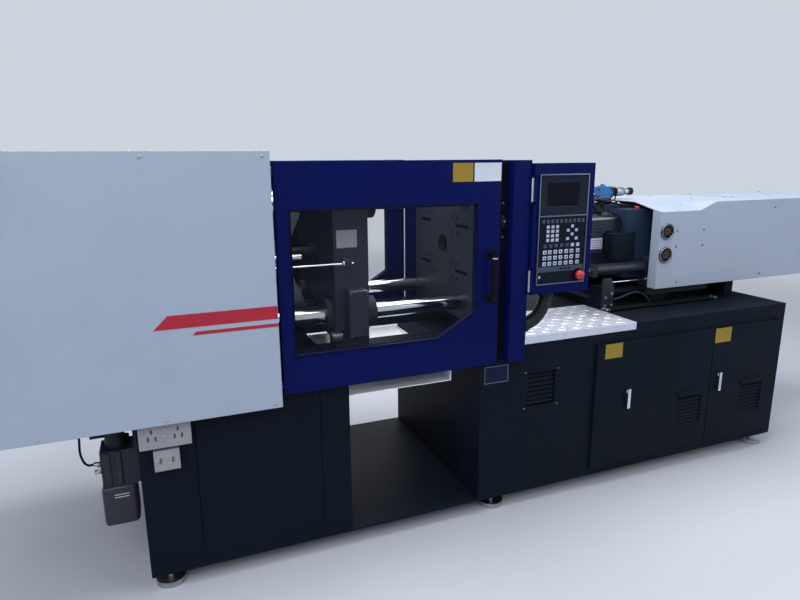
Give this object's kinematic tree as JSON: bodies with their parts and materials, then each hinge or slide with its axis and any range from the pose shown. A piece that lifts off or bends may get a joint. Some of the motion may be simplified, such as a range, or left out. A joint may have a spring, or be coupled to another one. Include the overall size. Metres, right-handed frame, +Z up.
{
  "type": "injection moulding machine",
  "caption": "Horizontal injection moulding machine with a toggle clamp behind sliding doors, an injection unit under a hood, and a swivelling operator panel.",
  "frame": {"origin": "on the floor under the middle of the machine's overall box", "axes": "+X from the clamp end to the injection end, +Y away from the operator, +Z up"},
  "size_m": [4.55, 1.143, 1.58],
  "materials": {
    "bed_paint": "dark blue-grey machine paint",
    "guard_paint": "white powder coat",
    "door_paint": "navy blue gloss paint",
    "machined_steel": "machined and oiled",
    "hard_chrome": "hard chrome",
    "cast_steel": "painted casting",
    "bright_steel": "zinc plated",
    "tread_aluminium": "raised tread",
    "window_sheet": "clear polycarbonate",
    "black_plastic": "moulded",
    "ivory_plastic": "moulded",
    "clear_plastic": "translucent reservoir",
    "red_plastic": "moulded",
    "blue_valve": "valve paint",
    "key_plastic": "keypad film over a moulded frame",
    "motor_green": "motor enamel",
    "rubber": "moulded"
  },
  "bodies": {
    "frame": {"levelling_feet": "bright_steel", "clamp_base": "bed_paint", "bed_rails": "bed_paint", "centre_column": "bed_paint", "injection_base": "bed_paint", "drop_chute": "guard_paint", "tread_plate": "tread_aluminium", "mains_sockets": "ivory_plastic", "lube_pump": "cast_steel", "lube_reservoir": "clear_plastic", "front_guard": "guard_paint", "rear_guard": "guard_paint", "top_guard": "guard_paint", "door_posts": "door_paint", "door_rails": "bright_steel", "tie_bars": "hard_chrome", "tie_bar_nuts": "machined_steel", "fixed_platen": "cast_steel", "carriage_rails": "machined_steel", "carriage_rods": "hard_chrome", "panel_conduit": "rubber", "pump_unit": "motor_green"},
    "front_door": {"front_door": "door_paint", "front_window": "window_sheet", "front_door_handle": "black_plastic"},
    "rear_door": {"rear_door": "door_paint", "rear_window": "window_sheet"},
    "clamp_end": {"rear_platen": "cast_steel", "mould_height_nuts": "machined_steel", "clamp_cylinder": "cast_steel", "crosshead_guide_rods": "hard_chrome"},
    "upper_rear_link": {"upper_rear_link": "cast_steel"},
    "upper_front_link": {"upper_front_link": "machined_steel"},
    "lower_rear_link": {"lower_rear_link": "cast_steel"},
    "lower_front_link": {"lower_front_link": "machined_steel"},
    "upper_crosshead_link": {"upper_crosshead_link": "machined_steel"},
    "lower_crosshead_link": {"lower_crosshead_link": "machined_steel"},
    "crosshead": {"crosshead": "machined_steel"},
    "moving_platen": {"moving_platen": "cast_steel", "ejector_cylinder": "cast_steel"},
    "ejector": {"ejector_rod": "hard_chrome"},
    "carriage": {"carriage_saddle": "cast_steel", "feed_housing": "cast_steel", "carriage_cylinders": "bright_steel", "barrel": "machined_steel", "heater_bands": "bright_steel", "barrel_guard": "bed_paint", "injection_cylinders": "cast_steel", "hood": "guard_paint", "valve_manifold": "blue_valve"},
    "injection_drive": {"injection_plate": "cast_steel", "screw_motor": "cast_steel"},
    "screw": {"screw": "hard_chrome"},
    "panel": {"panel_case": "door_paint", "panel_face": "key_plastic"},
    "emergency_stop": {"emergency_stop": "red_plastic"},
    "left_cabinet_door": {"left_cabinet_door": "bed_paint"},
    "right_cabinet_door": {"right_cabinet_door": "bed_paint"},
    "left_latch": {"left_latch": "hard_chrome"},
    "right_latch": {"right_latch": "hard_chrome"}
  },
  "joints": [
    {"name": "front_door_slide", "type": "slide", "parent": "frame", "child": "front_door", "axis": [-1, 0, 0], "range_m": [0, 0.7]},
    {"name": "rear_door_slide", "type": "slide", "parent": "frame", "child": "rear_door", "axis": [-1, 0, 0], "range_m": [0, 0.7]},
    {"name": "mould_height", "type": "slide", "parent": "frame", "child": "clamp_end", "axis": [1, 0, 0], "range_m": [-0.18, 0.03]},
    {"name": "toggle", "type": "hinge", "parent": "clamp_end", "child": "upper_rear_link", "pos_m": [-1.07, 0.0215, 1.425], "axis": [0, -1, 0], "range_deg": [0, 64.4]},
    {"name": "upper_knee", "type": "hinge", "parent": "upper_rear_link", "child": "upper_front_link", "pos_m": [-0.97, 0.0215, 1.19587], "axis": [0, -1, 0], "range_deg": [-128.8, 0]},
    {"name": "upper_platen_pin", "type": "hinge", "parent": "upper_front_link", "child": "moving_platen", "pos_m": [-0.87, 0.0215, 1.425], "axis": [0, -1, 0], "range_deg": [0, 64.4]},
    {"name": "upper_ear_pin", "type": "hinge", "parent": "upper_rear_link", "child": "upper_crosshead_link", "pos_m": [-1.038, 0.0215, 1.35168], "axis": [0, -1, 0], "range_deg": [-128.8, 0]},
    {"name": "crosshead_pin", "type": "hinge", "parent": "upper_crosshead_link", "child": "crosshead", "pos_m": [-1.006, 0.0215, 1.425], "axis": [0, -1, 0], "range_deg": [0, 64.4]},
    {"name": "lower_rear_pin", "type": "hinge", "parent": "clamp_end", "child": "lower_rear_link", "pos_m": [-1.07, 0.0215, 0.875], "axis": [0, -1, 0], "range_deg": [-64.4, 0]},
    {"name": "lower_knee", "type": "hinge", "parent": "lower_rear_link", "child": "lower_front_link", "pos_m": [-0.97, 0.0215, 1.10413], "axis": [0, -1, 0], "range_deg": [0, 128.8]},
    {"name": "lower_ear_pin", "type": "hinge", "parent": "lower_rear_link", "child": "lower_crosshead_link", "pos_m": [-1.038, 0.0215, 0.94832], "axis": [0, -1, 0], "range_deg": [0, 128.8]},
    {"name": "ejector_slide", "type": "slide", "parent": "moving_platen", "child": "ejector", "axis": [1, 0, 0], "range_m": [0, 0.06]},
    {"name": "carriage_slide", "type": "slide", "parent": "frame", "child": "carriage", "axis": [1, 0, 0], "range_m": [-0.2, 0.05]},
    {"name": "injection_slide", "type": "slide", "parent": "carriage", "child": "injection_drive", "axis": [1, 0, 0], "range_m": [0, 0.16]},
    {"name": "screw_turn", "type": "hinge", "parent": "injection_drive", "child": "screw", "pos_m": [0.925, 0.0215, 1.15], "axis": [1, 0, 0], "continuous": true},
    {"name": "panel_swivel", "type": "hinge", "parent": "frame", "child": "panel", "pos_m": [-0.0495, -0.5245, 1.2], "axis": [0, 0, -1], "range_deg": [0, 80]},
    {"name": "emergency_stop_push", "type": "slide", "parent": "panel", "child": "emergency_stop", "axis": [0, 1, 0], "range_m": [0, 0.004]},
    {"name": "left_cabinet_hinge", "type": "hinge", "parent": "frame", "child": "left_cabinet_door", "pos_m": [1.0875, -0.4675, 0.4], "axis": [0, 0, 1], "range_deg": [0, 110]},
    {"name": "right_cabinet_hinge", "type": "hinge", "parent": "frame", "child": "right_cabinet_door", "pos_m": [1.5305, -0.4675, 0.4], "axis": [0, 0, 1], "range_deg": [0, 110]},
    {"name": "left_latch_turn", "type": "hinge", "parent": "left_cabinet_door", "child": "left_latch", "pos_m": [0.558, -0.4785, 0.4735], "axis": [0, 1, 0], "range_deg": [0, 90]},
    {"name": "right_latch_turn", "type": "hinge", "parent": "right_cabinet_door", "child": "right_latch", "pos_m": [1.142, -0.4785, 0.4735], "axis": [0, -1, 0], "range_deg": [0, 90]}
  ],
  "couplings": [
    {"joint": "upper_knee", "follows": "toggle", "ratio": -2},
    {"joint": "upper_platen_pin", "follows": "toggle", "ratio": 1},
    {"joint": "upper_ear_pin", "follows": "toggle", "ratio": -2},
    {"joint": "crosshead_pin", "follows": "toggle", "ratio": 1},
    {"joint": "lower_rear_pin", "follows": "toggle", "ratio": -1},
    {"joint": "lower_knee", "follows": "toggle", "ratio": 2},
    {"joint": "lower_ear_pin", "follows": "toggle", "ratio": 2}
  ]
}
